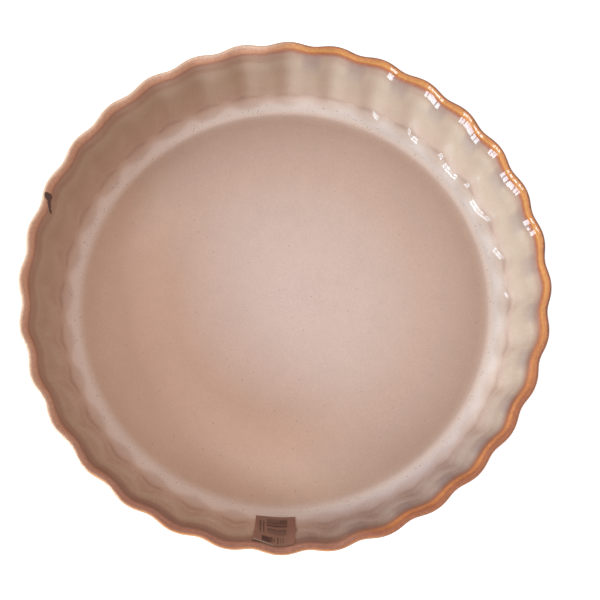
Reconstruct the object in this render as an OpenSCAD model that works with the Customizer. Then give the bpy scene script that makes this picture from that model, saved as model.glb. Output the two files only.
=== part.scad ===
// Round fluted pie dish: one piece of glazed stoneware, with a paper label stuck inside.
// The origin is the centre of the foot's underside, with +Z up and a flute crest on +X.

/* [Dish] */
// Diameter over the flute crests of the lip
rim_d = 280; // [268:1:340]
// Height from the table to the top of the lip
dish_h = 46; // [38:1:70]
// Diameter of the flat floor inside
floor_d = 230; // [160:1:240]
// Thickness of the floor
floor_t = 6; // [4:0.5:9]
// Radius of the outside corner between the underside and the wall
heel_r = 5; // [2:0.5:8]

/* [Lip] */
// Radius of the lip's rounded edge
lip_r = 1.2; // [0.8:0.1:2.4]
// Radius of the flare that eases from the lip's edge into the wall inside
flare_r = 15; // [6:0.5:18]
// Direction in degrees in which the lip's edge meets the flare: 90 is up and 180 is inward
flare_at = 132; // [120:1:150]

/* [Cove] */
// Width of the shallow cove between the floor and the wall
cove_w = 9.6; // [6:0.1:12]
// Height that the cove climbs
cove_rise = 2; // [1:0.1:3.5]
// Radius of the inside corner between the cove and the wall
crease_r = 10; // [1:0.5:12]

/* [Flutes] */
// Number of flutes round the wall
flutes = 32; // [20:1:36]
// Depth of the flutes outside, from crest to trough
flute_out = 2; // [0.5:0.1:3]
// Depth of the flutes inside, from crest to trough
flute_in = 2.3; // [0.5:0.1:3]
// Pinch of the outside crests: above 0 they are narrower than the troughs
pinch_out = -0.1; // [-0.2:0.05:0.2]
// Pinch of the inside crests at the lip
pinch_lip = 0.12; // [-0.2:0.02:0.25]
// Pinch of the inside crests at the foot of the wall
pinch_crease = 0.24; // [-0.2:0.02:0.25]

/* [Foot] */
// Distance of the foot ring from the edge of the flat underside
foot_inset = 5.5; // [1:0.5:20]
// Width of the foot ring
foot_w = 6; // [3:0.5:12]
// Height of the foot ring
foot_h = 2; // [1:0.2:4]
// Radius on the foot ring's lower edges
foot_r = 0.8; // [0.2:0.1:0.9]

/* [Label] */
// Width of the label
label_w = 21; // [10:0.5:40]
// Length of the label, down the wall and out onto the cove
label_l = 39; // [15:0.5:42]
// Distance of the label's upper edge below the start of the flare
label_drop = 3.4; // [0.5:0.1:5]
// How straight the label's lower end spans the flutes: 0 follows them, and 1 is straight
label_span = 0.85; // [0:0.05:1]
// Thickness of the label
label_t = 0.3; // [0.1:0.05:1]
// Film of glue between the label and the glaze
glue_t = 0.15; // [0.1:0.05:0.5]
// Direction of the label from the centre, in degrees
label_at = 268.6; // [0:0.1:360]

/* [Hidden] */

// Facets across one flute, and across each rounded stretch of the section
flute_n = 8;
heel_n = 3;
lip_n = 5;
flare_n = 4;
crease_n = 4;
cove_n = 3;
label_n = 8;
// Depth that the foot ring is rooted in the underside
foot_root = floor_t / 4;

floor_z = foot_h + floor_t;
function dir(a) = [cos(a), sin(a)];
function mix(a, b, t) = a + (b - a) * t;
function ease(t) = t * t * (3 - 2 * t);

// Centres of the lip's edge and of the flare, which lies farther out and lower
lip_c = [(rim_d - flute_out) / 2 - lip_r, dish_h - lip_r];
flare_c = lip_c - (flare_r - lip_r) * dir(flare_at);
// Corner where the cove meets the wall
crease = [floor_d / 2 + cove_w, floor_z + cove_rise];
// Lean of the wall: its inner face leaves the crease and touches the flare
lean = atan2(flare_c[0] - crease[0], flare_c[1] - crease[1])
    - asin(flare_r / norm(flare_c - crease));
// The cove is an arc that starts level with the floor
cove_r = (pow(cove_w, 2) + pow(cove_rise, 2)) / (2 * cove_rise);
cove_c = [floor_d / 2, floor_z + cove_r];
// Corner where the line of the outer wall meets the underside
heel = [lip_c[0] + lip_r / cos(lean) - (lip_c[1] - foot_h) * tan(lean), foot_h];

// Length that a round of radius r takes off each side of a corner that turns by t degrees
function tangent(r, t) = r * tan(abs(t) / 2);

// Round of radius r at corner p, where the heading turns from h0 to h1 degrees
function round_off(p, r, h0, h1, n) =
    let (side = 90 * sign(h1 - h0),
         c = p - tangent(r, h1 - h0) * dir(h0) + r * dir(h0 + side))
    [for (i = [0:n]) c + r * dir(mix(h0, h1, i / n) - side)];

// A station of the section is [radius, height, flute depth, pinch]. They run from the
// underside out round the heel, up the outer wall, over the lip and down to the floor.
heel_line = round_off(heel, heel_r, 0, 90 - lean, heel_n);
outer = [for (i = [0:heel_n]) concat(heel_line[i], [flute_out * ease(i / heel_n), pinch_out])];

// The flutes change evenly from their outside to their inside shape over the lip
function over_lip(p, t) = concat(p, [mix(flute_out, flute_in, t), mix(pinch_out, pinch_lip, t)]);
lip = concat(
    [for (i = [0:lip_n - 1])
        let (t = i / lip_n)
        over_lip(lip_c + lip_r * dir(mix(-lean, flare_at, t)), t / 2)],
    [for (i = [0:flare_n])
        let (t = i / flare_n)
        over_lip(flare_c + flare_r * dir(mix(flare_at, 180 - lean, t)), (1 + t) / 2)]);

// The crease's round touches the wall on one side and the cove's arc on the other
round_r = min(crease_r, cove_r / 2);
wall_in = dir(180 - lean);
shift = round_r - (cove_c - crease) * wall_in;
round_c = cove_c + shift * wall_in
    + sqrt(pow(cove_r - round_r, 2) - pow(shift, 2)) * dir(270 - lean);
cove_end = atan2(round_c[1] - cove_c[1], round_c[0] - cove_c[0]);
corner = [for (i = [0:crease_n])
    concat(round_c + round_r * dir(mix(-lean, cove_end, i / crease_n)), [flute_in, pinch_crease])];

cove = [for (i = [1:cove_n])
    let (t = i / cove_n)
    concat(cove_c + cove_r * dir(mix(cove_end, -90, t)), [flute_in * ease(1 - t), pinch_crease])];

section = concat(outer, lip, corner, cove);

// Radius of a station in direction a, between its flutes' crests and troughs
function fluted(s, a) =
    s[0] + s[2] / 2 * (cos(flutes * a) + s[3] * (cos(2 * flutes * a) - 1));
function ring_point(s, a) = concat(fluted(s, a) * dir(a), s[1]);

// Closed skin through rings of equal, even length. The first and last ring are closed by
// rungs across the ring, from each point to the one as far from its other end.
module skin(rings) {
    n = len(rings[0]);
    top = (len(rings) - 1) * n;
    sides = [for (j = [0:n:top - n], i = [0:n - 1])
        let (a = j + i, b = j + (i + 1) % n)
        each [[a, a + n, b + n], [a, b + n, b]]];
    rungs = [for (i = [0:n / 2 - 2]) each [[i, i + 1, n - 2 - i], [i, n - 2 - i, n - 1 - i]]];
    lid = [for (f = rungs) [top + f[2], top + f[1], top + f[0]]];
    polyhedron([for (r = rings) each r], concat(rungs, sides, lid));
}

module foot_ring() {
    outer_r = heel_line[0][0] - foot_inset;
    inner_r = outer_r - foot_w;
    top = foot_h + foot_root;
    rotate_extrude($fn = 180)
        polygon(concat(
            round_off([inner_r, 0], foot_r, -90, 0, 4),
            round_off([outer_r, 0], foot_r, 0, 90, 4),
            [[outer_r, top], [inner_r, top]]));
}

// Dish: glazed stoneware, cream inside with an amber lip
module dish() {
    turn = 360 / (flutes * flute_n);
    color("#d8bdae") {
        skin([for (s = section) [for (k = [0:flutes * flute_n - 1]) ring_point(s, k * turn)]]);
        foot_ring();
    }
}

// Inner face from the flare down to the floor, and the way along it to each station
inner = concat([for (i = [lip_n:lip_n + flare_n]) lip[i]], corner, cove);
function reach(k) =
    k == 0 ? 0 : reach(k - 1) + norm([for (i = [0, 1]) inner[k][i] - inner[k - 1][i]]);
function along(s, k = 1) =
    k == len(inner) - 1 || s < reach(k)
        ? mix(inner[k - 1], inner[k], (s - reach(k - 1)) / (reach(k) - reach(k - 1)))
        : along(s, k + 1);

// Point on the wall's facets at station s, in direction a
function facet_point(s, a) =
    let (turn = 360 / (flutes * flute_n), k = floor(a / turn))
    mix(ring_point(s, k * turn), ring_point(s, (k + 1) * turn), a / turn - k);

// Label point: way s down the inner face, distance w to one side and height h off the glaze.
// Paper can't bend two ways at once, so where it turns onto the cove it spans the flutes.
function label_point(s, w, h) =
    let (at = along(s),
         near = label_t / 2,
         run = along(s + near) - along(s - near),
         a = label_at + w / at[0] * 180 / PI,
         inmost = concat((at[0] - at[2] / 2) * dir(a), at[1]),
         span = label_span * ease((s - label_drop) / label_l),
         off = h / norm([run[0], run[1]]))
    mix(facet_point(at, a), inmost, span) + off * concat(run[1] * dir(a), -run[0]);

// Label: a thin sheet that follows the flutes near the lip and spans them on the cove
module label() {
    first = label_drop;
    last = label_drop + label_l;
    bends = [for (k = [1:len(inner) - 2]) reach(k)];
    ways = concat(first, [for (s = bends) if (s > first && s < last) s], last);
    // Each ring goes round one row of the sheet: across its front, and back along its rear
    color("#7d5848")
        skin([for (s = ways) concat(
            [for (i = [0:label_n]) label_point(s, label_w * (i / label_n - 0.5), glue_t + label_t)],
            [for (i = [label_n:-1:0]) label_point(s, label_w * (i / label_n - 0.5), glue_t)])]);
}

dish();
label();
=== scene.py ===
# %% [markdown]
# # A fluted pie dish in glazed stoneware
# The dish is one casting: a flat floor, a shallow cove, a fluted wall and a round lip, all under
# one glaze. A paper label is stuck inside. This script gives both their looks. The construction
# comes from the frame, a imported model in metres with +Z up. We load it first and take the
# dish's size from it.

# %% Load the frame
import math
import bpy
from mathutils import Matrix, Vector
from types import SimpleNamespace


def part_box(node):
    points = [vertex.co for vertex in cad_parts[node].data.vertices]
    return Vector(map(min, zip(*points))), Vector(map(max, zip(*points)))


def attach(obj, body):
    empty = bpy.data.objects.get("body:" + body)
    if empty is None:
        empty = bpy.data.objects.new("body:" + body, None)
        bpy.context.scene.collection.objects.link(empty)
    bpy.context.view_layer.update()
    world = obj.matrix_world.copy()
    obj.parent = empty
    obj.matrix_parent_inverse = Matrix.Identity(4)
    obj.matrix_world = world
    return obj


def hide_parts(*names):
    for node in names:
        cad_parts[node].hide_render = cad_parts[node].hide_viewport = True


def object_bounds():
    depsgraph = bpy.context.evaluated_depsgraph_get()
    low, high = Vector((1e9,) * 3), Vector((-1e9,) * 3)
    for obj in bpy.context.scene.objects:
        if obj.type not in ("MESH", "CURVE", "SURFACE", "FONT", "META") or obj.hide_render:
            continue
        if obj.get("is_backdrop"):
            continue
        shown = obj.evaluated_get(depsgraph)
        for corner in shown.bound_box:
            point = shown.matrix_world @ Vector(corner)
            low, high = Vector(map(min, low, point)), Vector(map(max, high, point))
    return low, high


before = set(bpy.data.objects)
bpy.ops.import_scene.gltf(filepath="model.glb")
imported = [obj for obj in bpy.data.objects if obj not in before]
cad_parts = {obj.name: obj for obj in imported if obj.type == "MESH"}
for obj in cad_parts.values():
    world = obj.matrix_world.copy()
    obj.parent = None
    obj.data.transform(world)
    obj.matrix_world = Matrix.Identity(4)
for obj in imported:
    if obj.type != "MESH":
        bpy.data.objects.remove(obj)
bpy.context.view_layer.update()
MM = 0.001

# %% [markdown]
# ## Helpers for nodes and objects
# Materials and Geometry Nodes are both trees of nodes joined by links. One small helper can build
# either kind: it adds a node, sets its options, and fills each input with a value or a link.
# With it, a tree reads like a list of steps. Two more helpers start a material and an object.

# %% Add a node
def add(tree, kind, inputs=None, **options):
    """A new node: options are its settings, and inputs maps a socket to a value or a link."""
    made = tree.nodes.new(kind)
    for name, value in options.items():
        setattr(made, name, value)
    for socket, value in (inputs or {}).items():
        if isinstance(value, bpy.types.NodeSocket):
            tree.links.new(value, made.inputs[socket])
        else:
            made.inputs[socket].default_value = value
    return made


def calc(tree, operation, *values, clamp=False):
    """The result of a Math node."""
    inputs = dict(enumerate(values))
    return add(tree, "ShaderNodeMath", inputs, operation=operation, use_clamp=clamp).outputs[0]


def times(tree, *values):
    """The product of some values."""
    product = values[0]
    for value in values[1:]:
        product = calc(tree, "MULTIPLY", product, value)
    return product


def times_plus(tree, value, factor, base):
    """The value times the factor, added to a base."""
    return calc(tree, "MULTIPLY_ADD", value, factor, base)


def mixed(tree, factor, a, b):
    """The value a, or the value b as far as the factor says."""
    return add(tree, "ShaderNodeMix", {0: factor, 2: a, 3: b}).outputs[0]


# %% Start a material or an object
def new_material(name):
    """A material, its node tree and the shader in it."""
    material = bpy.data.materials.new(name)
    material.use_nodes = True
    return material, material.node_tree, material.node_tree.nodes["Principled BSDF"]


def new_object(name, data):
    """An object in the scene."""
    made = bpy.data.objects.new(name, data)
    bpy.context.collection.objects.link(made)
    return made


print("helpers:", ", ".join(f.__name__ for f in (add, new_material, new_object)))

# %% [markdown]
# ## The section of the dish
# A potter forms such a dish with a profile: one line that is turned round the middle. We draw
# that line as stations, from the middle of the underside out over the foot ring, up the outer
# wall, over the lip and back down to the middle of the floor. Each station also knows how deep
# the flutes are there, and how much they are pinched, because the flutes fade out at the floor.

# %% Driving sizes
# The inner wall's flare and crease follow a closer reading of the photo than the construction's
dish_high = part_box("dish")[1]
# The flutes deepen over the lip, so the rim is drawn this far inside the construction's box
MARGIN = 0.02 * MM
RIM_RADIUS = dish_high.x - MARGIN
HEIGHT = dish_high.z
FLOOR_RADIUS = 115 * MM
FLOOR_THICKNESS = 6 * MM
LIP_OUTER_ROUND = 1.2 * MM
LIP_INNER_ROUND = 26 * MM
LIP_TURN = 132
OUTER_LEAN = 15.6
HEEL_ROUND = 5 * MM
COVE_WIDTH = 9.6 * MM
COVE_RISE = 2 * MM
CREASE_ROUND = 11 * MM
FLUTES = 32
FLUTE_OUT = 2 * MM
FLUTE_IN = 2.3 * MM
PINCH_OUT, PINCH_LIP, PINCH_CREASE = -0.1, 0.12, 0.24
FOOT_HEIGHT = 2 * MM
FOOT_WIDTH = 6 * MM
FOOT_INSET = 5.5 * MM
FOOT_ROUND = 0.8 * MM
print("rim radius", round(RIM_RADIUS / MM, 2), "mm, height", round(HEIGHT / MM, 2), "mm")


# %% Geometry of rounds
def heading(degrees):
    """The direction at so many degrees: 0 points outward and 90 up."""
    return Vector((math.cos(math.radians(degrees)), math.sin(math.radians(degrees))))


def mix(a, b, t):
    """What lies between a and b: a where t is 0, and b where it is 1."""
    return a + (b - a) * t


def ease(t):
    """The share t with a soft start and a soft end."""
    return t * t * (3 - 2 * t)


def cut(radius, turn):
    """Length that a round takes off each side of a corner that turns by so many degrees."""
    return radius * math.tan(math.radians(abs(turn) / 2))


def rounded(corner, radius, start, end, steps):
    """Points of a round at a corner, where the heading turns from start to end."""
    side = math.copysign(90, end - start)
    centre = corner - cut(radius, end - start) * heading(start) + radius * heading(start + side)
    return [centre + radius * heading(mix(start, end, i / steps) - side) for i in range(steps + 1)]


print("the heel's round at a right angle takes off", round(cut(HEEL_ROUND, 90) / MM, 2), "mm")

# %% Corners and centres of the section
floor_z = FOOT_HEIGHT + FLOOR_THICKNESS
lip_centre = Vector((RIM_RADIUS - FLUTE_OUT / 2 - LIP_OUTER_ROUND, HEIGHT - LIP_OUTER_ROUND))
flare_centre = lip_centre - (LIP_INNER_ROUND - LIP_OUTER_ROUND) * heading(LIP_TURN)
crease = Vector((FLOOR_RADIUS + COVE_WIDTH, floor_z + COVE_RISE))
climb = flare_centre - crease
lean = math.degrees(math.atan2(climb.x, climb.y) - math.asin(LIP_INNER_ROUND / climb.length))
outer_lean = math.radians(OUTER_LEAN)
heel_x = (lip_centre.x + LIP_OUTER_ROUND / math.cos(outer_lean)
          - (lip_centre.y - FOOT_HEIGHT) * math.tan(outer_lean))
cove_round = (COVE_WIDTH ** 2 + COVE_RISE ** 2) / (2 * COVE_RISE)
cove_centre = Vector((FLOOR_RADIUS, floor_z + cove_round))

wall_normal = heading(180 - lean)
shift = CREASE_ROUND - (cove_centre - crease).dot(wall_normal)
drop = math.sqrt((cove_round - CREASE_ROUND) ** 2 - shift ** 2)
crease_centre = cove_centre + shift * wall_normal + drop * heading(270 - lean)
to_crease = crease_centre - cove_centre
cove_end = math.degrees(math.atan2(to_crease.y, to_crease.x))
print("the wall leans out by", OUTER_LEAN, "degrees outside and", round(lean, 1), "inside")

# %% Stations of the foot and the outer wall
stations = []


def station(point, depth=0.0, pinch=0.0):
    stations.append((point.copy(), depth, pinch))


def straight(start, end, steps, depths=(0.0, 0.0), pinches=(0.0, 0.0)):
    """Stations along a straight stretch, its two ends left out."""
    for i in range(1, steps):
        t = i / steps
        station(start.lerp(end, t), mix(*depths, t), mix(*pinches, t))


FOOT_STEPS, UNDER_STEPS, HEEL_STEPS, WALL_STEPS = 2, 2, 6, 4
heel_line = rounded(Vector((heel_x, FOOT_HEIGHT)), HEEL_ROUND, 0, 90 - OUTER_LEAN, HEEL_STEPS)
foot_out = heel_line[0].x - FOOT_INSET
foot_in = foot_out - FOOT_WIDTH
foot_line = []
for x, z, start, end in ((foot_in, FOOT_HEIGHT, 0, -90), (foot_in, 0, -90, 0),
                         (foot_out, 0, 0, 90), (foot_out, FOOT_HEIGHT, 90, 0)):
    foot_line += rounded(Vector((x, z)), FOOT_ROUND, start, end, FOOT_STEPS)

under_middle = Vector((0, FOOT_HEIGHT))
station(under_middle)
straight(under_middle, foot_line[0], UNDER_STEPS)
for point in foot_line:
    station(point)
for i, point in enumerate(heel_line):
    t = i / HEEL_STEPS
    station(point, FLUTE_OUT * ease(t), PINCH_OUT)
print(len(stations), "stations from the middle of the underside to the heel")

# %% Stations of the lip
LIP_STEPS = 32
lip_line = [lip_centre + LIP_OUTER_ROUND * heading(mix(-OUTER_LEAN, LIP_TURN, 2 * i / LIP_STEPS))
            for i in range(LIP_STEPS // 2)]
lip_line += [flare_centre + LIP_INNER_ROUND * heading(mix(LIP_TURN, 180 - lean, 2 * i / LIP_STEPS))
             for i in range(LIP_STEPS // 2 + 1)]
straight(heel_line[-1], lip_line[0], WALL_STEPS, (FLUTE_OUT, FLUTE_OUT), (PINCH_OUT, PINCH_OUT))
for i, point in enumerate(lip_line):
    t = i / LIP_STEPS
    station(point, mix(FLUTE_OUT, FLUTE_IN, t), mix(PINCH_OUT, PINCH_LIP, t))
print(len(stations), "stations from the middle of the underside to the flare's end")

# %% Stations of the crease, the cove and the floor
CREASE_STEPS, FLOOR_STEPS = 20, 3
crease_line = [crease_centre + CREASE_ROUND * heading(mix(-lean, cove_end, i / CREASE_STEPS))
               for i in range(CREASE_STEPS + 1)]
straight(lip_line[-1], crease_line[0], WALL_STEPS, (FLUTE_IN, FLUTE_IN), (PINCH_LIP, PINCH_CREASE))
for point in crease_line:
    left_over = min(1.0, (point.x - FLOOR_RADIUS) / COVE_WIDTH)
    station(point, FLUTE_IN * ease(left_over), PINCH_CREASE)
station(Vector((FLOOR_RADIUS, floor_z)))
floor_middle = Vector((0, floor_z))
straight(stations[-1][0], floor_middle, FLOOR_STEPS)
station(floor_middle)
print(len(stations), "stations in all")

# %% [markdown]
# ## The section as a line mesh
# Geometry Nodes can read a mesh of edges as a curve. We store three values on its points: `way`,
# the distance along the section from the top of the lip (below zero outside, above zero inside),
# and the depth and pinch of the flutes. The material uses `way` later, because a glaze changes
# its colour with the distance from the lip.

# %% Make the section line
top = max(range(len(stations)), key=lambda i: stations[i][0].y)
lengths = [0.0]
for (a, _, _), (b, _, _) in zip(stations, stations[1:]):
    lengths.append(lengths[-1] + (b - a).length)
LIP_WAY = lengths[top]

section_mesh = bpy.data.meshes.new("section")
section_mesh.from_pydata([(p.x, 0, p.y) for p, _, _ in stations],
                         [(i, i + 1) for i in range(len(stations) - 1)], [])
section_mesh.attributes.new("way", "FLOAT", "POINT").data.foreach_set(
    "value", [s - LIP_WAY for s in lengths])
section_mesh.attributes.new("flute", "FLOAT_VECTOR", "POINT").data.foreach_set(
    "vector", [v for _, depth, pinch in stations for v in (depth, pinch, 0)])
section = new_object("section", section_mesh)
print("section", round(lengths[-1] / MM, 1), "mm long, the lip's top at", round(LIP_WAY / MM, 1), "mm")

# %% [markdown]
# ## A node group that finds a point on the dish
# The same rule gives every point of the dish: go some way along the section, read its radius,
# add the wave of the flutes, and turn it to an angle. The wave is one cosine for the flutes and
# a second one, twice as fast, that pinches the crests. We put this rule in a node group, so that
# the dish and the label, which follows the same surface, can both use it.


# %% Node group: point on the dish
def add_socket(tree, name, kind, way_in=True):
    """Adds an input or an output to a tree."""
    tree.interface.new_socket(name, in_out="INPUT" if way_in else "OUTPUT", socket_type=kind)


def make_surface_group():
    tree = bpy.data.node_groups.new("Point on the Dish", "GeometryNodeTree")
    for name, kind in (("Section", "NodeSocketGeometry"), ("Way", "NodeSocketFloat"),
                       ("Angle", "NodeSocketFloat"), ("Flutes", "NodeSocketInt"),
                       ("Span", "NodeSocketFloat")):
        add_socket(tree, name, kind)
    add_socket(tree, "Position", "NodeSocketVector", False)
    given = add(tree, "NodeGroupInput").outputs
    flute = add(tree, "GeometryNodeInputNamedAttribute", {"Name": "flute"}, data_type="FLOAT_VECTOR")
    found = add(tree, "GeometryNodeSampleCurve",
                {"Curves": given["Section"], "Value": flute.outputs[0],
                 "Length": calc(tree, "ADD", given["Way"], LIP_WAY)},
                mode="LENGTH", data_type="FLOAT_VECTOR").outputs
    place = add(tree, "ShaderNodeSeparateXYZ", {0: found["Position"]}).outputs
    depth, pinch, _ = add(tree, "ShaderNodeSeparateXYZ", {0: found["Value"]}).outputs
    turn = times(tree, given["Angle"], given["Flutes"])
    wave = calc(tree, "COSINE", turn)
    second = calc(tree, "SUBTRACT", calc(tree, "COSINE", times(tree, turn, 2.0)), 1.0)
    wobble = times_plus(tree, second, pinch, wave)
    wobble = mixed(tree, given["Span"], wobble, -1.0)
    radius = times_plus(tree, times(tree, depth, 0.5), wobble, place["X"])
    x = times(tree, radius, calc(tree, "COSINE", given["Angle"]))
    y = times(tree, radius, calc(tree, "SINE", given["Angle"]))
    point = add(tree, "ShaderNodeCombineXYZ", {0: x, 1: y, 2: place["Z"]}).outputs[0]
    add(tree, "NodeGroupOutput", {"Position": point})
    return tree


surface_group = make_surface_group()
print("node group:", len(surface_group.nodes), "nodes")


# %% [markdown]
# ## From a tree to a plain mesh
# A modifier runs its tree again whenever something changes. That is handy while a shape is being
# tried out, but a finished piece has to be a plain mesh. So we hang the tree on the section line,
# set its inputs, read the evaluated mesh once, and take the modifier off again. An input has a
# name for people and an identifier for the modifier, so we look the identifier up by the name.

# %% End a tree, run it once and keep the mesh
def end_tree(tree, geometry, material):
    """Ends a tree with a mesh that stands alone and has its material."""
    geometry = add(tree, "GeometryNodeRealizeInstances", {0: geometry}).outputs[0]
    inputs = {"Geometry": geometry, "Material": material}
    add(tree, "NodeGroupOutput", {0: add(tree, "GeometryNodeSetMaterial", inputs).outputs[0]})


def bake_tree(tree, name, values):
    """Runs a tree on the section, with these values by input name, and returns a plain mesh object."""
    modifier = section.modifiers.new(tree.name, "NODES")
    modifier.node_group = tree
    ids = {s.name: s.identifier for s in tree.interface.items_tree if s.item_type == "SOCKET"}
    for key, value in values.items():
        modifier[ids[key]] = value
    seen = section.evaluated_get(bpy.context.evaluated_depsgraph_get())
    mesh = bpy.data.meshes.new_from_object(seen)
    section.modifiers.remove(modifier)
    mesh.name = name
    return new_object(name, mesh)


print("trees run on:", section.name)

# %% [markdown]
# ## The dish as a bent grid
# A lathe tool or Blender's Spin could turn the section, but the flutes would still be missing.
# We bend a grid instead: its rows are the stations and its columns go round, and each vertex
# asks the group above for its place. Merging by distance closes the seam and the two poles.


# %% Geometry Nodes tree: the dish
# Vertices nearer than this are one: the grid's own columns stand farther apart
MERGE = 0.002 * MM


def make_dish_tree():
    tree = bpy.data.node_groups.new("Fluted Dish", "GeometryNodeTree")
    for name, kind in (("Section", "NodeSocketGeometry"), ("Flutes", "NodeSocketInt"),
                       ("Columns per Flute", "NodeSocketInt"), ("Material", "NodeSocketMaterial")):
        add_socket(tree, name, kind)
    add_socket(tree, "Dish", "NodeSocketGeometry", False)
    given = add(tree, "NodeGroupInput").outputs
    rows = add(tree, "GeometryNodeAttributeDomainSize", {0: given["Section"]}).outputs["Point Count"]
    columns = times(tree, given["Flutes"], given["Columns per Flute"])
    loop = calc(tree, "ADD", columns, 1.0)
    grid = add(tree, "GeometryNodeMeshGrid", {"Vertices X": rows, "Vertices Y": loop}).outputs["Mesh"]
    index = add(tree, "GeometryNodeInputIndex").outputs[0]
    row = calc(tree, "FLOOR", calc(tree, "DIVIDE", calc(tree, "ADD", index, 0.5), loop))
    column = calc(tree, "ROUND", calc(tree, "SUBTRACT", index, times(tree, row, loop)))
    angle = times(tree, column, calc(tree, "DIVIDE", math.tau, columns))
    stored = add(tree, "GeometryNodeInputNamedAttribute", {"Name": "way"}, data_type="FLOAT")
    way = add(tree, "GeometryNodeSampleIndex", {"Geometry": given["Section"],
              "Value": stored.outputs[0], "Index": row}, data_type="FLOAT").outputs[0]
    line = add(tree, "GeometryNodeMeshToCurve", {"Mesh": given["Section"]}).outputs[0]
    point = add(tree, "GeometryNodeGroup",
                {"Section": line, "Way": way, "Angle": angle, "Flutes": given["Flutes"]},
                node_tree=surface_group)
    geometry = add(tree, "GeometryNodeStoreNamedAttribute",
                   {"Geometry": grid, "Name": "way", "Value": way}).outputs[0]
    geometry = add(tree, "GeometryNodeSetPosition",
                   {"Geometry": geometry, "Position": point.outputs["Position"]}).outputs[0]
    geometry = add(tree, "GeometryNodeMergeByDistance", {0: geometry, "Distance": MERGE}).outputs[0]
    geometry = add(tree, "GeometryNodeSetShadeSmooth", {0: geometry}).outputs[0]
    end_tree(tree, geometry, given["Material"])
    return tree


# %% [markdown]
# ## Colours as places and codes
# A glaze is a thin coat of glass, and the kiln gives one glaze many colours. Where it runs thin
# over the lip it turns amber and brown, on the wall it is cream, it pools pale in the cove, and it
# is a pinkish beige on the floor. These could be painted on a picture, but they all follow the
# distance from the lip. So we write them as lists of places and colours along the section, in
# millimetres, and a Color Ramp node holds such a list.


# %% Helpers for values
def share(tree, value, low, high, smooth=True):
    """How far a value is from low to high, between 0 and 1."""
    kind = "SMOOTHSTEP" if smooth else "LINEAR"
    inputs = {"Value": value, "From Min": low, "From Max": high}
    if low > high:
        inputs = {"Value": value, "From Min": high, "From Max": low, "To Min": 1.0, "To Max": 0.0}
    return add(tree, "ShaderNodeMapRange", inputs, interpolation_type=kind).outputs[0]


def band(tree, value, start, full, fade, end):
    """1 where a value is between full and fade, falling to 0 at start and end."""
    return times(tree, share(tree, value, start, full), share(tree, value, end, fade))


# %% Helpers for colours
WHITE = (1, 1, 1, 1)


def paint(code):
    """A colour from its hex code, as linear light."""
    parts = [int(code[i:i + 2], 16) / 255 for i in (0, 2, 4)]
    return (*[c / 12.92 if c <= 0.04045 else ((c + 0.055) / 1.055) ** 2.4 for c in parts], 1)


def ramp(tree, value, stops):
    """A colour that runs through stops, which are pairs of a place and a hex code."""
    low, high = stops[0][0], stops[-1][0]
    made = add(tree, "ShaderNodeValToRGB", {0: share(tree, value, low, high, smooth=False)})
    elements = made.color_ramp.elements
    while len(elements) < len(stops):
        elements.new(1)
    for element, (place, code) in zip(elements, stops):
        element.position = (place - low) / (high - low)
        element.color = paint(code)
    return made.outputs[0]


def blend(tree, factor, a, b, kind="MIX"):
    """Colour a, with as much of b over it as the factor says."""
    b = paint(b) if isinstance(b, str) else b
    made = add(tree, "ShaderNodeMix", {0: factor, 6: a, 7: b}, data_type="RGBA", blend_type=kind)
    return made.outputs[2]


def noise(tree, place, size, detail=2.0):
    """Soft noise from -1 to 1, with features of about this size in millimetres."""
    inputs = {"Vector": place, "Scale": 1 / size, "Detail": detail}
    raw = add(tree, "ShaderNodeTexNoise", inputs).outputs["Fac"]
    return times_plus(tree, raw, 2.0, -1.0)


# %% Colours along the section
# Each place is a way in millimetres: 0 is the top of the lip, and the outside lies below 0
OUTSIDE = ((-120, "a98468"), (-60, "b8927a"), (-44, "c2a08a"), (-20, "c2a48e"), (-9, "b08a72"))
INSIDE = ((9, "bda792"), (18, "c2ac98"), (26, "cab49f"), (34, "cfb6a3"), (37.4, "cfb5a4"),
          (38.6, "dfc8b7"), (40.5, "e8d5c6"), (45, "ede0d7"), (47.4, "ecded3"), (49, "e2cdbf"),
          (51.5, "d3b6a2"), (55, "d0af9b"))
# The floor in a lit copy and a browner shaded copy: painted light and shade of the window
FLOOR_PAINTED_LIT = ((49, "d8c4b8"), (51.5, "c5aa98"), (55, "c0a392"), (62, "c6ab99"), (72, "ccb2a3"),
             (84, "d4b9a9"), (100, "dac3b5"), (120, "dfc9bd"), (163, "e3cfc5"))
FLOOR_PAINTED_SHADE = ((49, "e2cdbf"), (51.5, "d4b8a4"), (55, "d5b7a2"), (62, "d9bca7"), (72, "dbbca9"),
             (84, "d7b59f"), (100, "ceab95"), (120, "d4b7a6"), (163, "dec7b9"))
# The lip by bearing: its own amber and brown, with painted light and shade on its outer edge and top
LIP_RIGHT = ((-9, "a67e66"), (-5, "7e5440"), (-2.2, "55372b"), (-0.8, "784e37"), (0.2, "c78354"),
             (1.2, "c6854c"), (2.3, "ce9152"), (3.2, "b26939"), (4.0, "a6694f"), (4.7, "a87967"),
             (6.0, "b19481"), (9, "b79c88"))
LIP_NEAR = ((-9, "a67e66"), (-4, "94634d"), (-1.0, "b67950"), (0.4, "aa6b4d"), (1.6, "9f5a35"),
            (2.6, "b97445"), (3.8, "c6814f"), (4.8, "ae6d4b"), (5.6, "9a6852"), (6.6, "a57c62"),
            (9, "a58e84"))
LIP_FRONT = ((-9, "a67e66"), (-3, "c08c66"), (-1.4, "dfa064"), (-0.8, "d39666"), (-0.2, "ac7352"),
             (0.8, "aa745f"), (2.2, "ba8570"), (3.4, "9e7260"), (4.6, "886352"), (5.6, "97715e"),
             (9, "a17f6f"))
LIP_LEFT = ((-9, "b08a74"), (-3, "c29a83"), (-0.8, "e0bd9c"), (0.4, "e7c5ab"), (1.4, "d2a58c"),
            (2.8, "cc9676"), (3.8, "bb886b"), (4.5, "a2725c"), (5.3, "a9816c"), (6.4, "ac8b76"),
            (9, "aa8773"))
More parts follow.
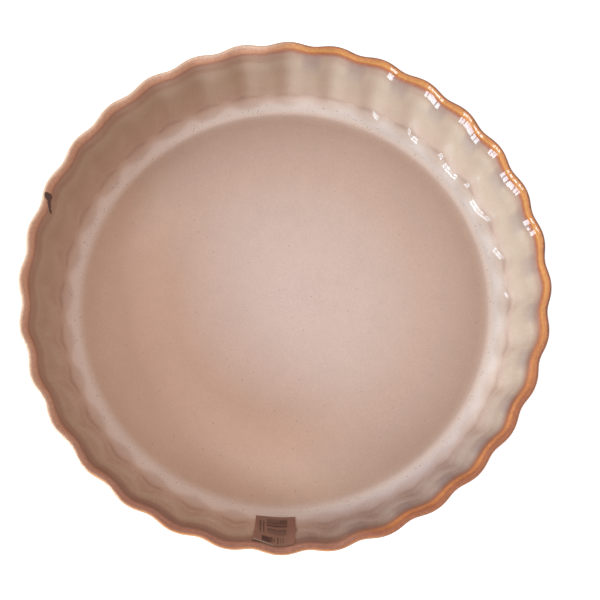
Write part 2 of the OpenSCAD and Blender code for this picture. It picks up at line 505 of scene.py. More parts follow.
print("colours on the floor's lit side:", ", ".join(code for _, code in FLOOR_PAINTED_LIT))

# %% [markdown]
# ## Where a point lies on the glaze
# Every part of the material asks the same questions: how far is this point from the lip, in which
# direction from the middle, and is it on a crest or in a trough of the flutes? The answers come
# from the mesh's own `way` values and from Object coordinates, which never move with the camera.
# Four noises of different sizes then keep every edge from looking drawn with a ruler.

# %% The glaze's own coordinates
# Sizes of the four noises, in millimetres
CLOUD, SHAKY, RAGGED, GRAIN = 26.0, 7.0, 1.6, 0.55


def glaze_place(tree):
    """Places in millimetres, angle in degrees, wave of the flutes, and the noises."""
    place = add(tree, "ShaderNodeTexCoord").outputs["Object"]
    spot = add(tree, "ShaderNodeVectorMath", {0: place, "Scale": 1 / MM}, operation="SCALE").outputs[0]
    x, y, z = add(tree, "ShaderNodeSeparateXYZ", {0: spot}).outputs
    angle = calc(tree, "DEGREES", calc(tree, "ARCTAN2", y, x))
    stored = add(tree, "ShaderNodeAttribute", attribute_name="way").outputs["Fac"]
    return SimpleNamespace(
        spot=spot, x=x, y=y, z=z, angle=angle,
        way=times(tree, stored, 1 / MM),
        wave=calc(tree, "COSINE", times(tree, angle, math.radians(FLUTES))),
        cloud=noise(tree, spot, CLOUD), shaky=noise(tree, spot, SHAKY, detail=3.0),
        ragged=noise(tree, spot, RAGGED), grain=noise(tree, spot, GRAIN, detail=3.0))


print("noises of", CLOUD, SHAKY, RAGGED, "and", GRAIN, "mm")


# %% Stretches round the rim
# Bearings in degrees, between which one look of the glaze gives way to the next, partly its painted
# light and shade
LEFT_FROM = (84.0, 100.0)
LEFT_TO = (-76.0, -98.0)
NEAR_EDGE = (5.0, -32.0)
FRONT = (-178.0, -112.0, -80.0, -64.0)
RIGHT_MIDDLE = 32.0
RIGHT_EDGE = (56.0, 30.0)


def zones(tree, angle):
    """How far a bearing lies in each stretch, between 0 and 1."""
    from_right = calc(tree, "ABSOLUTE", calc(tree, "SUBTRACT", angle, RIGHT_MIDDLE))
    return SimpleNamespace(
        left=calc(tree, "MAXIMUM", share(tree, angle, *LEFT_FROM), share(tree, angle, *LEFT_TO)),
        near=share(tree, angle, *NEAR_EDGE),
        front=band(tree, angle, *FRONT),
        right=share(tree, from_right, *RIGHT_EDGE))


# %% [markdown]
# ## The amber lip
# On the lip the melted glaze ran off the edge, and the thin coat that stayed burnt amber, with a
# red line below it. One ring of colour would look like a painted stripe. The line reaches lower at
# the flutes' outer crests, where it is partly painted shade in the narrow grooves of the inner
# wall, so we move the colours along the way before the ramp reads them: by these dips, and by two
# of the noises. Four ramps by bearing give the lip its colour: its own amber and brown, with
# painted shade on the outer edge on the right, painted light on the outer edge at the front and
# the left, and a painted reflection that makes the top of the lip paler on the left.

# %% Colour of the lip
# How far the lip's colours dip at the crests: partly painted shade of the grooves there
CREST_DIP_SPREAD, CREST_DIP_LENGTH = 0.9, 0.45
CREST_DIP_START = (1.0, 3.5)
TROUGH_PULL = -0.4
LIP_SHAKE, LIP_RAG = 0.5, 0.22


def lip_colour(tree, on, zone):
    """The lip's colour, and the shaken way that it was read at."""
    # The colours reach lower at the crests: partly painted shade in the narrow grooves
    crest = calc(tree, "MAXIMUM", on.wave, TROUGH_PULL)
    length = times_plus(tree, on.cloud, CREST_DIP_SPREAD, CREST_DIP_LENGTH)
    crest_dip = times(tree, crest, length, share(tree, on.way, *CREST_DIP_START))
    way = calc(tree, "SUBTRACT", on.way, crest_dip)
    way = times_plus(tree, on.shaky, LIP_SHAKE, way)
    way = times_plus(tree, on.ragged, LIP_RAG, way)
    # Lit and shaded copies of the lip by bearing: partly painted light and shade
    colour = blend(tree, zone.near, ramp(tree, way, LIP_RIGHT), ramp(tree, way, LIP_NEAR))
    colour = blend(tree, zone.left, colour, ramp(tree, way, LIP_LEFT))
    return blend(tree, zone.front, colour, ramp(tree, way, LIP_FRONT)), way


# %% [markdown]
# ## Wall, cove and floor
# The pale pool in the cove has a scalloped upper edge: it climbs higher in the flutes' troughs.
# We get that by moving the way with the flutes' wave before the ramp reads it. A second, softer
# scallop inside the first darkens the cove just under the crease, most on the left: painted shade
# of the crease. The floor comes in two ramps, a lit copy and a browner shaded copy: painted light
# and shade, where the wall hides the window from the floor on the window's side. The bearing of
# that side says how much of each we see.

# %% Colour of the inside
SCALLOP_REACH = (28.0, 35.0, 41.0, 48.5)
SCALLOP = 1.6
# Painted shade just under the crease: its scallop, its edge in mm, its colour and strength
CREASE_SHADE_SCALLOP = 1.2
CREASE_SHADE_EDGE = (45.0, 41.0)
CREASE_SHADE_COLOUR, CREASE_SHADE_ANYWHERE, CREASE_SHADE_MORE_LEFT = "ece5e1", 0.35, 0.5
WALL_SHAKE = 0.5
COVE = (36.0, 38.0, 47.0, 49.0)
FLOOR_START = (48.6, 50.4)
# The floor's painted shade lies towards this bearing, and fades in over these distances in mm
PAINTED_SHADE_BEARING = math.radians(217)
PAINTED_SHADE_EDGE, PAINTED_SHADE_CLOUD = (-8.0, 62.0), 6.0


def inside_colour(tree, on, zone):
    """Colour of the wall, the cove and the floor."""
    climb = times(tree, on.wave, band(tree, on.way, *SCALLOP_REACH))
    way = times_plus(tree, climb, -SCALLOP, on.way)
    way = times_plus(tree, on.shaky, WALL_SHAKE, way)
    # Painted shade on the floor, on the side where the wall hides the window
    towards_painted_shade = times(tree, on.y, math.sin(PAINTED_SHADE_BEARING))
    towards_painted_shade = times_plus(tree, on.x, math.cos(PAINTED_SHADE_BEARING), towards_painted_shade)
    painted_shade = share(tree, times_plus(tree, on.cloud, PAINTED_SHADE_CLOUD, towards_painted_shade), *PAINTED_SHADE_EDGE)
    base = blend(tree, painted_shade, ramp(tree, on.way, FLOOR_PAINTED_LIT), ramp(tree, on.way, FLOOR_PAINTED_SHADE))
    colour = blend(tree, share(tree, on.way, *FLOOR_START), ramp(tree, way, INSIDE), base)
    # Painted shade under the crease, scalloped by the flutes and strongest on the shaded left
    crease_shade = share(tree, times_plus(tree, on.wave, -CREASE_SHADE_SCALLOP, way), *CREASE_SHADE_EDGE)
    strength = times_plus(tree, zone.left, CREASE_SHADE_MORE_LEFT, CREASE_SHADE_ANYWHERE)
    crease_shade = times(tree, crease_shade, strength, band(tree, on.way, *COVE))
    return blend(tree, crease_shade, colour, CREASE_SHADE_COLOUR, "MULTIPLY")


# %% [markdown]
# ## Cooler tints
# The colour is a little darker, and mostly cooler, in the hollows under the lip, on the near wall,
# on the left and in the cove on the right. Such a change is easier to lay over the finished colour
# than to write into every ramp. A Mix node set to Multiply does it, like a thin wash of paint.

# %% Tints of the wall
TINTED = (4.0, 9.0, 40.0, 50.0)
NEAR_TINT, LEFT_TINT, HOLLOW_TINT, RIGHT_COVE_TINT = "e2dfe5", "f4edea", "e9e8f0", "ecebea"
RIGHT_COVE = (35.0, 39.0, 45.0, 50.0)
NEAR_TINTED = (-20.0, -52.0)
HOLLOW, HOLLOW_WAVE = (3.5, 6.0, 9.0, 20.0), (0.2, -0.8)


def tinted(tree, colour, on, zone):
    """The colour with its darker, cooler tints, which multiply it."""
    tint = blend(tree, share(tree, on.angle, *NEAR_TINTED), WHITE, NEAR_TINT)
    tint = blend(tree, zone.left, tint, LEFT_TINT)
    colour = blend(tree, band(tree, on.way, *TINTED), colour, tint, "MULTIPLY")
    cove = times(tree, zone.right, band(tree, on.way, *RIGHT_COVE))
    colour = blend(tree, cove, colour, RIGHT_COVE_TINT, "MULTIPLY")
    not_left = calc(tree, "SUBTRACT", 1.0, zone.left)
    hollow = times(tree, share(tree, on.wave, *HOLLOW_WAVE), band(tree, on.way, *HOLLOW), not_left)
    return blend(tree, hollow, colour, HOLLOW_TINT, "MULTIPLY")


# %% [markdown]
# ## Hair streaks and grain
# The glaze ran down the wall before it froze, and left fine streaks that lean a little. Noise is
# even in all directions, so we stretch it: we roll the wall out, shear it by the lean, and shrink
# the distance down the wall, which draws each speck of noise out into a hair. The streaks are
# clearest on the near wall, and the lip has a coarser mottling instead.

# %% Streaks and cloudy shades
ROLL_RADIUS = 130.0
LEAN_OF_STREAKS = 0.35
STREAK_STRETCH = 0.09
STREAK_WIDTH = 0.8
# The streaks are clearest round this bearing, and fade between these distances from it
STREAK_BEARING, STREAK_SIDES = -85.0, (100.0, 50.0)
STREAKS_THERE, STREAKS_ELSEWHERE = 0.12, 0.04
CLOUD_SHADE, SHAKY_SHADE, GRAIN_SHADE = 0.05, 0.04, 0.17
WALL = (5.0, 10.0, 36.0, 40.0)
LIP, LIP_MOTTLE = (-4.0, -2.0, 3.5, 5.5), 0.3


def slanted(tree, angle, way, slant, stretch):
    """A place on a roll as wide as the rim, sheared by slant and shrunk along the way."""
    turned = times(tree, way, slant)
    turned = times_plus(tree, turned, 1 / ROLL_RADIUS, calc(tree, "RADIANS", angle))
    x = times(tree, calc(tree, "COSINE", turned), ROLL_RADIUS)
    y = times(tree, calc(tree, "SINE", turned), ROLL_RADIUS)
    return add(tree, "ShaderNodeCombineXYZ", {0: x, 1: y, 2: times(tree, way, stretch)}).outputs[0]


def shades(tree, on):
    """Light and dark of the glaze round 1, from clouds, grain, hair streaks and mottling."""
    twice = times(tree, on.angle, math.radians(2))
    slant = times(tree, calc(tree, "SINE", twice), LEAN_OF_STREAKS)
    place = slanted(tree, on.angle, on.way, slant, STREAK_STRETCH)
    hair = noise(tree, place, STREAK_WIDTH, detail=3.0)
    away = calc(tree, "ABSOLUTE", calc(tree, "SUBTRACT", on.angle, STREAK_BEARING))
    near = share(tree, away, *STREAK_SIDES)
    strength = times_plus(tree, near, STREAKS_THERE, STREAKS_ELSEWHERE)
    shade = times_plus(tree, on.cloud, CLOUD_SHADE, 1.0)
    shade = times_plus(tree, on.shaky, SHAKY_SHADE, shade)
    shade = times_plus(tree, on.grain, GRAIN_SHADE, shade)
    shade = calc(tree, "ADD", shade, times(tree, hair, strength, band(tree, on.way, *WALL)))
    shade = calc(tree, "ADD", shade, times(tree, on.ragged, band(tree, on.way, *LIP), LIP_MOTTLE))
    return add(tree, "ShaderNodeCombineColor", {0: shade, 1: shade, 2: shade}).outputs[0]


# %% [markdown]
# ## Pinholes, specks, a flaw and bare clay
# Small marks tell the eye that the dish is real. Gas left pinholes in the cove, and dark specks lie
# here and there on the floor: both are the cells of a Voronoi texture, cut to their centres. The
# dark flaw on the lip is a blot of a few ovals, with a rough edge. The lower edge of the foot ring
# was wiped free of glaze before firing, or the dish would have stuck to the kiln shelf.

# %% Pinholes and specks
# The size of a cell in millimetres, the edge and core of its dark centre, and how dark it is
PINHOLE_CELL, PINHOLE_SIZE, PINHOLE_DARK = 1.9, (0.24, 0.14), 0.45
SPECK_CELL, SPECK_SIZE, SPECK_DARK = 6.0, (0.085, 0.05), 0.35
PINHOLES, SPECKS = (41.0, 44.0, 48.5, 50.5), (48.0, 54.0)
CLUSTER, CLUSTERED = 5.0, (-0.1, 0.2)
MARK = "7a5c4c"


def cells(tree, spot, size, far, near):
    """1 at the centres of cells of this size, falling to 0 at the share far of a cell."""
    inputs = {"Vector": spot, "Scale": 1 / size}
    away = add(tree, "ShaderNodeTexVoronoi", inputs).outputs["Distance"]
    return share(tree, away, far, near)


def dotted(tree, colour, on):
    """The colour with pinholes and specks over it."""
    clusters = share(tree, noise(tree, on.spot, CLUSTER, detail=1.0), *CLUSTERED)
    holes = cells(tree, on.spot, PINHOLE_CELL, *PINHOLE_SIZE)
    holes = times(tree, holes, clusters, band(tree, on.way, *PINHOLES), PINHOLE_DARK)
    colour = blend(tree, holes, colour, MARK)
    specks = cells(tree, on.spot, SPECK_CELL, *SPECK_SIZE)
    specks = times(tree, specks, share(tree, on.way, *SPECKS), SPECK_DARK)
    return blend(tree, specks, colour, MARK)


print("a pinhole is up to", round(2 * PINHOLE_CELL * PINHOLE_SIZE[0], 1), "mm wide")


# %% The flaw and the bare clay
FLAW_COLOUR, CLAY, DARK_CLAY = "503024", "bf9c7f", "a88468"
CLAY_GRAIN, CLAY_MIDDLE = 0.9, 0.5
FLAW_EDGE, FLAW_RAG = (0.22, 0.75), 0.25
# Ovals of the flaw: angle in degrees, then way, width and height in millimetres
FLAW = ((159.9, 1.6, 1.2, 1.5), (159.8, 3.8, 1.2, 1.6), (160.6, 2.9, 1.3, 2.2), (161.5, 4.0, 1.1, 1.3),
        (162.2, 4.8, 1.1, 1.1), (162.9, 6.0, 0.9, 0.9), (163.3, 6.9, 0.6, 0.7))


def blot(tree, on, ovals):
    """1 inside a blot made of ovals, with a rough edge."""
    total = 0.0
    for at, down, wide, high in ovals:
        arc = math.radians(ROLL_RADIUS) / wide
        across = times(tree, calc(tree, "SUBTRACT", on.angle, at), arc)
        along = calc(tree, "DIVIDE", calc(tree, "SUBTRACT", on.way, down), high)
        far = times_plus(tree, along, along, times(tree, across, across))
        total = calc(tree, "ADD", total, calc(tree, "EXPONENT", times(tree, far, -1.0)))
    return share(tree, times_plus(tree, on.ragged, FLAW_RAG, total), *FLAW_EDGE)


def marked(tree, colour, on, bare):
    """The colour with all its marks, and bare clay where the glaze was wiped off."""
    colour = dotted(tree, colour, on)
    colour = blend(tree, blot(tree, on, FLAW), colour, FLAW_COLOUR)
    darker = times_plus(tree, on.grain, CLAY_GRAIN, CLAY_MIDDLE)
    return blend(tree, bare, colour, blend(tree, darker, paint(CLAY), DARK_CLAY))


print("ovals in the flaw:", len(FLAW))

# %% [markdown]
# ## The finish, and the whole material
# The glaze shines like glass on the lip and on the right of the wall and cove. It is a little duller
# on the rest of them, and satin on the floor, where its grain also shows as fine relief. The surface
# is never quite flat, so a slow noise bends the reflections a little. The clay of the foot ring is
# rough. With its parts made as helpers above, the material itself is a short list: lip, inside and
# outside, then tints, shades and marks over them.

# %% Roughness and relief
GLOSS, SATIN, CLAY_ROUGH = 0.05, 0.36, 0.85
SATIN_START = (47.0, 53.0)
DULL_WALL, DULLER = (8.0, 14.0, 42.0, 48.0), 0.14
GRAIN_ROUGH = 0.1
RELIEF = 0.004 * MM
SLOW_WAVES, SATIN_RELIEF, CLAY_RELIEF = 5.0, 0.5, 6.0


def finish(tree, shader, on, zone, bare):
    """Links the roughness and the bump."""
    satin = share(tree, on.way, *SATIN_START)
    rough = times_plus(tree, satin, SATIN - GLOSS, GLOSS)
    rough = calc(tree, "ADD", rough, times(tree, calc(tree, "ABSOLUTE", on.grain), satin, GRAIN_ROUGH))
    not_right = calc(tree, "SUBTRACT", 1.0, zone.right)
    rough = calc(tree, "ADD", rough, times(tree, not_right, band(tree, on.way, *DULL_WALL), DULLER))
    tree.links.new(mixed(tree, bare, rough, CLAY_ROUGH), shader.inputs["Roughness"])
    relief = noise(tree, on.spot, SLOW_WAVES, detail=1.0)
    relief = times_plus(tree, times(tree, on.grain, satin), SATIN_RELIEF, relief)
    relief = times_plus(tree, times(tree, on.grain, bare), CLAY_RELIEF, relief)
    bump = add(tree, "ShaderNodeBump", {"Strength": 1.0, "Distance": RELIEF, "Height": relief})
    tree.links.new(bump.outputs["Normal"], shader.inputs["Normal"])


print("relief:", round(1000 * RELIEF / MM), "thousandths of a mm")


# %% Material: the glaze
LIP_END = (6.5, 11.0)
OUTSIDE_START, OUTSIDE_SHAKE = (-6.0, -9.0), 2.0
BARE_BELOW, BARE_RAG = (1.0, 0.8), 0.15


def make_glaze():
    material, tree, shader = new_material("cream_and_amber_glaze")
    on = glaze_place(tree)
    zone = zones(tree, on.angle)
    lip, lip_way = lip_colour(tree, on, zone)
    colour = blend(tree, share(tree, lip_way, *LIP_END), lip, inside_colour(tree, on, zone))
    outside = ramp(tree, times_plus(tree, on.shaky, OUTSIDE_SHAKE, on.way), OUTSIDE)
    colour = blend(tree, share(tree, on.way, *OUTSIDE_START), colour, outside)
    colour = tinted(tree, colour, on, zone)
    colour = blend(tree, 1.0, colour, shades(tree, on), "MULTIPLY")
    bare = share(tree, times_plus(tree, on.ragged, BARE_RAG, on.z), *BARE_BELOW)
    tree.links.new(marked(tree, colour, on, bare), shader.inputs["Base Color"])
    finish(tree, shader, on, zone, bare)
    return material


glaze = make_glaze()
print("glaze:", len(glaze.node_tree.nodes), "nodes")

# %% [markdown]
# ## Make the dish
# The tree runs once on the section, and what it makes is kept as a plain mesh. With 36 columns
# in each flute, the mirror images of the window keep smooth edges.

# %% The dish
COLUMNS_PER_FLUTE = 36
dish = bake_tree(make_dish_tree(), "glazed_dish",
                 {"Flutes": FLUTES, "Columns per Flute": COLUMNS_PER_FLUTE, "Material": glaze})
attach(dish, "root")
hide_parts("dish")
print("dish", len(dish.data.vertices), "vertices,", len(dish.data.polygons), "faces")

# %% [markdown]
# ## The label as a bent sheet
# The label follows the same surface as the dish, so its tree asks the same group. A flat grid
# gives the sheet: its rows run down the wall and its columns across. Each vertex gets a place on
# the glaze, moves out by the film of glue, and the sheet is then extruded to the paper's
# thickness. One corner is lifted a little, because paper on a hard curve comes loose there.

# %% Sizes of the label
LABEL_WIDTH = 21 * MM
LABEL_LENGTH = 39 * MM
LABEL_SPAN = 0.85
LABEL_THICKNESS = 0.3 * MM
GLUE = 0.15 * MM
LABEL_AT = 268.6
LABEL_START = 4.3 * MM
LABEL_LIFT = 0.6 * MM
print("label:", round(LABEL_WIDTH / MM), "by", round(LABEL_LENGTH / MM), "mm")


# %% A flat sheet
ACROSS_POINTS, ALONG_POINTS = 29, 53


def flat_sheet(tree, given):
    """A flat grid that stores its flat shape, and that shape's places across and along."""
    sheet = add(tree, "GeometryNodeMeshGrid",
                {"Size X": given["Width"], "Size Y": given["Length"],
                 "Vertices X": ACROSS_POINTS, "Vertices Y": ALONG_POINTS}).outputs["Mesh"]
    flat = add(tree, "GeometryNodeInputPosition").outputs[0]
    sheet = add(tree, "GeometryNodeStoreNamedAttribute",
                {"Geometry": sheet, "Name": "sheet", "Value": flat},
                data_type="FLOAT_VECTOR").outputs[0]
    sheet = add(tree, "GeometryNodeFlipFaces", {0: sheet}).outputs[0]
    stored = add(tree, "GeometryNodeInputNamedAttribute", {"Name": "sheet"}, data_type="FLOAT_VECTOR")
    across, along, _ = add(tree, "ShaderNodeSeparateXYZ", {0: stored.outputs[0]}).outputs
    return sheet, across, along


print("sheet:", ACROSS_POINTS, "by", ALONG_POINTS, "points")


# %% Lay the sheet on the glaze
def lay_down(tree, given, sheet, across, along):
    """The sheet on the dish: its way gives the radius, and the radius gives its angle."""
    down = calc(tree, "SUBTRACT", 0.5, calc(tree, "DIVIDE", along, given["Length"]))
    way = times_plus(tree, down, given["Length"], given["Start"])
    span = times(tree, share(tree, down, 0.0, 1.0), given["Span"])
    line = add(tree, "GeometryNodeMeshToCurve", {"Mesh": given["Section"]}).outputs[0]
    line_way = calc(tree, "ADD", way, LIP_WAY)
    found = add(tree, "GeometryNodeSampleCurve", {"Curves": line, "Length": line_way}, mode="LENGTH")
    radius = add(tree, "ShaderNodeSeparateXYZ", {0: found.outputs["Position"]}).outputs["X"]
    angle = calc(tree, "ADD", given["Bearing"], calc(tree, "DIVIDE", across, radius))
    point = add(tree, "GeometryNodeGroup",
                {"Section": line, "Way": way, "Angle": angle, "Flutes": given["Flutes"],
                 "Span": span}, node_tree=surface_group)
    return add(tree, "GeometryNodeSetPosition",
               {"Geometry": sheet, "Position": point.outputs["Position"]}).outputs[0]


# %% Lift the sheet off the glaze and thicken it
LOOSE_CORNER = (1.35, 2.0)


def lift_off(tree, given, sheet, across, along):
    """The sheet above its film of glue, with one loose corner."""
    normal = add(tree, "GeometryNodeInputNormal").outputs[0]
    left = calc(tree, "DIVIDE", across, times(tree, given["Width"], -0.5))
    high = calc(tree, "DIVIDE", along, times(tree, given["Length"], 0.5))
    corner = share(tree, calc(tree, "ADD", left, high), *LOOSE_CORNER)
    height = times_plus(tree, corner, given["Lift"], given["Glue"])
    offset = add(tree, "ShaderNodeVectorMath", {0: normal, "Scale": height}, operation="SCALE")
    return add(tree, "GeometryNodeSetPosition",
               {"Geometry": sheet, "Offset": offset.outputs[0]}).outputs[0]


def thicken(tree, given, sheet):
    """The sheet as a closed solid: extruded outwards, with the sheet itself as its rear."""
    grown = add(tree, "GeometryNodeExtrudeMesh",
                {"Mesh": sheet, "Offset Scale": given["Thickness"], "Individual": False})
    rear = add(tree, "GeometryNodeFlipFaces", {0: sheet}).outputs[0]
    joined = add(tree, "GeometryNodeJoinGeometry")
    tree.links.new(rear, joined.inputs[0])
    tree.links.new(grown.outputs["Mesh"], joined.inputs[0])
    return add(tree, "GeometryNodeMergeByDistance",
               {0: joined.outputs[0], "Distance": MERGE}).outputs[0]


# %% Geometry Nodes tree: the label
def make_label_tree():
    tree = bpy.data.node_groups.new("Bent Label", "GeometryNodeTree")
    add_socket(tree, "Section", "NodeSocketGeometry")
    add_socket(tree, "Flutes", "NodeSocketInt")
    for name in ("Start", "Length", "Width", "Bearing", "Glue", "Thickness", "Span", "Lift"):
        add_socket(tree, name, "NodeSocketFloat")
    add_socket(tree, "Material", "NodeSocketMaterial")
    add_socket(tree, "Label", "NodeSocketGeometry", False)
    given = add(tree, "NodeGroupInput").outputs
    sheet, across, along = flat_sheet(tree, given)
    sheet = lay_down(tree, given, sheet, across, along)
    sheet = lift_off(tree, given, sheet, across, along)
    end_tree(tree, thicken(tree, given, sheet), given["Material"])
    return tree


# %% [markdown]
# ## Printed paper
# The label is brown, fibrous paper with fields of dark ink. A picture could be laid on it, but from
# a step away a few plain boxes of ink give the same look, so the material draws them. The sheet
# still remembers its flat shape in the attribute `sheet`, which was stored before it was bent, so
# the boxes bend with the paper. Noise frays their edges and makes the ink uneven.

# %% Fields of ink
# Each is its left, right, low and high edge in millimetres on the flat sheet, and its depth
PRINT = ((-8.1, -6.9, -16.4, 9.8, 0.8), (-6.3, -5.2, -16.1, 9.9, 0.75),
         (-4.3, 7.0, -18.2, -8.8, 0.45), (-4.3, 2.6, -15.4, -13.6, 0.9), (-4.3, 6.6, -12.6, -10.6, 1.0),
         (2.4, 6.9, -17.6, -13.4, 0.7), (-4.3, 6.4, -5.2, 9.0, 0.45), (-4.0, 1.0, -4.0, 0.2, 0.85),
         (1.5, 6.0, -4.4, -0.4, 0.8), (-6.9, -2.2, 13.2, 18.8, 0.95), (-2.4, -1.0, 12.4, 18.2, 0.8),
         (-0.8, 0.1, 13.3, 17.4, 0.7), (1.1, 2.0, 11.2, 18.2, 0.85), (2.7, 3.4, 12.2, 17.6, 0.5),
         (3.8, 4.6, 12.2, 17.8, 0.65))
PRINT_LEAN = 0.03
SOFT_SIDE, SOFT_END = 0.3, 0.8
INK, INK_NOISE, INK_UNEVEN = "442720", 0.7, 0.35
FRAY_ACROSS, FRAY_ALONG, FRAY_NOISE = 0.25, 0.5, 1.3


def field(tree, x, y, left, right, low, high):
    """1 inside a box on the flat sheet, with a soft edge."""
    return times(tree, share(tree, x, left, left + SOFT_SIDE), share(tree, x, right, right - SOFT_SIDE),
                 share(tree, y, low, low + SOFT_END), share(tree, y, high, high - SOFT_END))


def ink_depth(tree, spot, across, along):
    """How much ink lies on a place of the sheet, between 0 and 1."""
    ragged = noise(tree, spot, INK_NOISE)
    x = times_plus(tree, along, -PRINT_LEAN, across)
    x = times_plus(tree, ragged, FRAY_ACROSS, x)
    y = times_plus(tree, noise(tree, spot, FRAY_NOISE), FRAY_ALONG, along)
    ink = 0.0
    for *sides, depth in PRINT:
        ink = calc(tree, "MAXIMUM", ink, times(tree, field(tree, x, y, *sides), depth))
    uneven = times_plus(tree, ragged, INK_UNEVEN, 1.0)
    return calc(tree, "MULTIPLY", ink, uneven, clamp=True)


print("fields of ink:", len(PRINT))


# %% Material: printed paper
PAPER, REDDER, TORN = "8d6c5b", "9a6858", "a08b7e"
FIBRE, PATCH = 0.9, 5.0
RIGHT_SIDE, LEFT_SIDE = (6.5, 10.0), (-8.5, -10.5)
FIBRES_RED, SIDES_RED, PATCHES_RED, ALL_RED = 1.2, 0.5, 0.2, 0.1
TORN_ALONG, TORN_ACROSS = (18.8, 19.3), (2.0, -2.0)
PAPER_ROUGH, FIBRES_ROUGH = 0.62, 0.08
FIBRE_STRENGTH, FIBRE_RELIEF = 0.6, 0.03 * MM


def make_paper():
    material, tree, shader = new_material("brown_label_paper")
    stored = add(tree, "ShaderNodeAttribute", attribute_name="sheet").outputs["Vector"]
    scaled = add(tree, "ShaderNodeVectorMath", {0: stored, "Scale": 1 / MM}, operation="SCALE")
    spot = scaled.outputs[0]
    across, along, _ = add(tree, "ShaderNodeSeparateXYZ", {0: spot}).outputs
    fibres = noise(tree, spot, FIBRE, detail=4.0)
    patches = noise(tree, spot, PATCH)
    sides = calc(tree, "MAXIMUM", share(tree, across, *RIGHT_SIDE), share(tree, across, *LEFT_SIDE))
    red = times_plus(tree, sides, SIDES_RED, ALL_RED)
    red = times_plus(tree, fibres, FIBRES_RED, red)
    red = calc(tree, "ADD", red, times(tree, patches, PATCHES_RED), clamp=True)
    colour = blend(tree, red, paint(PAPER), REDDER)
    colour = blend(tree, ink_depth(tree, spot, across, along), colour, INK)
    torn = times(tree, share(tree, along, *TORN_ALONG), share(tree, across, *TORN_ACROSS))
    colour = blend(tree, torn, colour, TORN)
    tree.links.new(colour, shader.inputs["Base Color"])
    rough = times_plus(tree, fibres, FIBRES_ROUGH, PAPER_ROUGH)
    tree.links.new(rough, shader.inputs["Roughness"])
    bump = add(tree, "ShaderNodeBump",
               {"Strength": FIBRE_STRENGTH, "Distance": FIBRE_RELIEF, "Height": fibres})
    tree.links.new(bump.outputs["Normal"], shader.inputs["Normal"])
    return material


paper = make_paper()
print("paper:", len(paper.node_tree.nodes), "nodes")

# %% [markdown]
# ## Make the label
# As with the dish, the tree runs once and its result is kept as a plain mesh. It gives the same
# sheet for other sizes, because each size is an input: a wider label only needs another width.
# The label rides on the same body, replaces its own CAD node and has its own slot.

# %% The label
label = bake_tree(make_label_tree(), "paper_label",
                  {"Flutes": FLUTES, "Start": LABEL_START, "Length": LABEL_LENGTH,
                   "Width": LABEL_WIDTH, "Bearing": math.radians(LABEL_AT), "Glue": GLUE,
                   "Thickness": LABEL_THICKNESS, "Span": LABEL_SPAN, "Lift": LABEL_LIFT,
                   "Material": paper})
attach(label, "root")
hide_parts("label")
print("label", len(label.data.vertices), "vertices,", len(label.data.polygons), "faces")

# %% [markdown]
# ## The camera
# The photo was taken from above and a little from the front. Its camera was found: the
# corners of the rim's flutes and the floor's edge were compared with the CAD model through a
# pinhole camera until they met. The lens is given as pixels, because that is what such a fit finds.
# The photo is cropped, so the middle of the lens is not the middle of the image: that is the shift.

# %% Camera
PHOTO_SIZE = 600
FOCAL_PIXELS = 1094.5
SENSOR_WIDTH = 36
SHIFT_PIXELS = 13
TILT, ROLL, TURN = 15.54, 0.01, 0.89
# Where the lens stands before it is turned, counted in rim radii from the middle of the rim
FITTED_RADIUS = 140 * MM
FROM_RIM = FITTED_RADIUS * Vector((0.0088, -0.0697, 4.0962))

lens = bpy.data.cameras.new("camera")
lens.sensor_width = SENSOR_WIDTH
lens.lens = SENSOR_WIDTH * FOCAL_PIXELS / PHOTO_SIZE
lens.shift_x = SHIFT_PIXELS / PHOTO_SIZE
camera = new_object("camera", lens)
bpy.context.scene.camera = camera
aim = (Matrix.Rotation(math.radians(TURN), 4, "Z") @ Matrix.Rotation(math.radians(TILT), 4, "X")
       @ Matrix.Rotation(math.radians(ROLL), 4, "Y"))
camera.matrix_world = Matrix.Translation((0, 0, HEIGHT)) @ aim @ Matrix.Translation(FROM_RIM)
place = camera.matrix_world.translation
print("camera: lens", round(lens.lens, 1), "mm, at", [round(v, 3) for v in place])

# %% [markdown]
# ## A pale floor
# The photo's background is pure white, but a floor that is bright enough to look white would
# throw too much light up at the dish. So the floor is a pale grey board that takes the shadow, and
# a glow lifts it to white only for rays from the camera and for rays that a shiny surface sends.
# The Light Path node tells these rays apart.

# %% Floor
FLOOR_REACH = 3.0
FLOOR_COLOUR = (0.76, 0.8, 0.84, 1)
FLOOR_ROUGH = 0.9
BACKGROUND_LIFT = 0.68


def seen_directly(tree):
    """1 for rays from the camera and for rays that a shiny surface sends on."""
    path = add(tree, "ShaderNodeLightPath").outputs
    return calc(tree, "MAXIMUM", path["Is Camera Ray"], path["Is Glossy Ray"])


def make_floor_material():
    material, tree, shader = new_material("white_floor")
    shader.inputs["Base Color"].default_value = FLOOR_COLOUR
    shader.inputs["Roughness"].default_value = FLOOR_ROUGH
    lift = times(tree, seen_directly(tree), BACKGROUND_LIFT)
    glow = add(tree, "ShaderNodeEmission", {"Strength": lift})
    total = add(tree, "ShaderNodeAddShader", {0: shader.outputs[0], 1: glow.outputs[0]})
    tree.links.new(total.outputs[0], tree.nodes["Material Output"].inputs["Surface"])
    return material


floor_mesh = bpy.data.meshes.new("floor")
corners = [(x * FLOOR_REACH, y * FLOOR_REACH, 0) for x, y in ((-1, -1), (1, -1), (1, 1), (-1, 1))]
floor_mesh.from_pydata(corners, [], [(0, 1, 2, 3)])
floor_mesh.materials.append(make_floor_material())
floor = new_object("floor", floor_mesh)
floor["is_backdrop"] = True
print("floor:", 2 * FLOOR_REACH, "m wide")

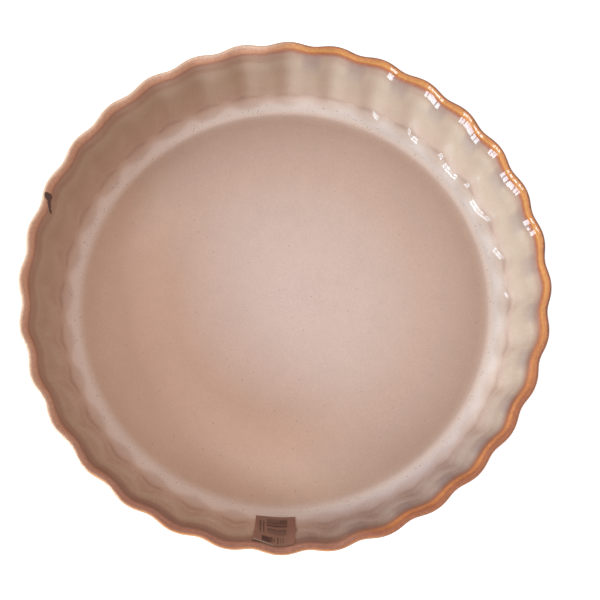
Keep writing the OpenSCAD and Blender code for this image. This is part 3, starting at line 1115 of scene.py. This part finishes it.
# %% [markdown]
# ## A window
# The sharp white marks on the wall are mirror images of a window with three lights, each with a
# low pane and a smaller high one. Their shape in the photo tells where it stood: behind the lower
# left of the picture, about as high as the dish and up. Area lamps stand for its panes, and are
# also the photo's main light. A camera holds back such glare, and a plain render doesn't, so each
# pane is two lamps: one only lights, and a dimmer one just before it is only mirrored in the glaze.

# %% Window
WINDOW_BEARING = 202.0
WINDOW_DISTANCE = 1.6
PANE_WIDTH = 0.225
PANE_GAP = 0.068
ROWS = ((0.03, 0.55), (0.80, 1.20))
WINDOW_RADIANCE = 22.5
MIRRORED_RADIANCE = 15.0
MIRROR_STEP = 0.02
DAYLIGHT = (0.685, 0.865, 1.0)


def panel(name, place, target, width, height, radiance, colour, mirrored):
    """A flat lamp that shines at the target, and either only lights or is only mirrored.

    Its energy is the power in watts that gives the wanted radiance over its whole face.
    """
    lamp = bpy.data.lights.new(name, "AREA")
    lamp.shape = "RECTANGLE"
    lamp.size = width
    lamp.size_y = height
    lamp.energy = radiance * math.pi * width * height
    lamp.color = colour
    made = new_object(name, lamp)
    made.location = place
    made.rotation_euler = (Vector(place) - Vector(target)).to_track_quat("Z", "Y").to_euler()
    made.visible_camera = False
    made.visible_glossy = mirrored
    made.visible_diffuse = not mirrored
    return made


outward = Vector((*heading(WINDOW_BEARING), 0))
sideways = Vector((*heading(WINDOW_BEARING + 90), 0))
panes = []
for i in (-1, 0, 1):
    for low, high in ROWS:
        middle = Vector((0, 0, (low + high) / 2))
        place = outward * WINDOW_DISTANCE + sideways * i * (PANE_WIDTH + PANE_GAP) + middle
        for radiance, mirrored in ((WINDOW_RADIANCE, False), (MIRRORED_RADIANCE, True)):
            nearer = place - outward * MIRROR_STEP * mirrored
            panes.append(panel("pane", nearer, nearer - outward, PANE_WIDTH, high - low,
                               radiance, DAYLIGHT, mirrored))
print("window:", len(panes), "lamps")

# %% [markdown]
# ## The room
# The rest of the room is one even, warm light from all sides. It fills the shadows, so that the
# wall on the window's side, which the window can't reach, stays a warm brown. The glaze mirrors it
# brighter than it lights, and only the camera sees it as white.

# %% Room light
AMBIENT = 0.69
ROOM_COLOUR = (1, 0.84, 0.78, 1)

world = bpy.data.worlds.new("world")
bpy.context.scene.world = world
world.use_nodes = True
tree = world.node_tree
room = tree.nodes["Background"]
camera_ray = add(tree, "ShaderNodeLightPath").outputs["Is Camera Ray"]
tree.links.new(blend(tree, camera_ray, ROOM_COLOUR, WHITE), room.inputs["Color"])
tree.links.new(mixed(tree, seen_directly(tree), AMBIENT, 1.0), room.inputs["Strength"])
bpy.context.scene.view_settings.view_transform = "Standard"
print("room light:", AMBIENT)

# %% [markdown]
# ## Measure and finish
# The section line has done its work, so it goes. Then we measure the box round the finished
# model and print its size.

# %% Measure the finished model
bpy.data.objects.remove(section)
low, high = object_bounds()
print("visual box in mm:", [round(v / MM, 2) for v in high - low])
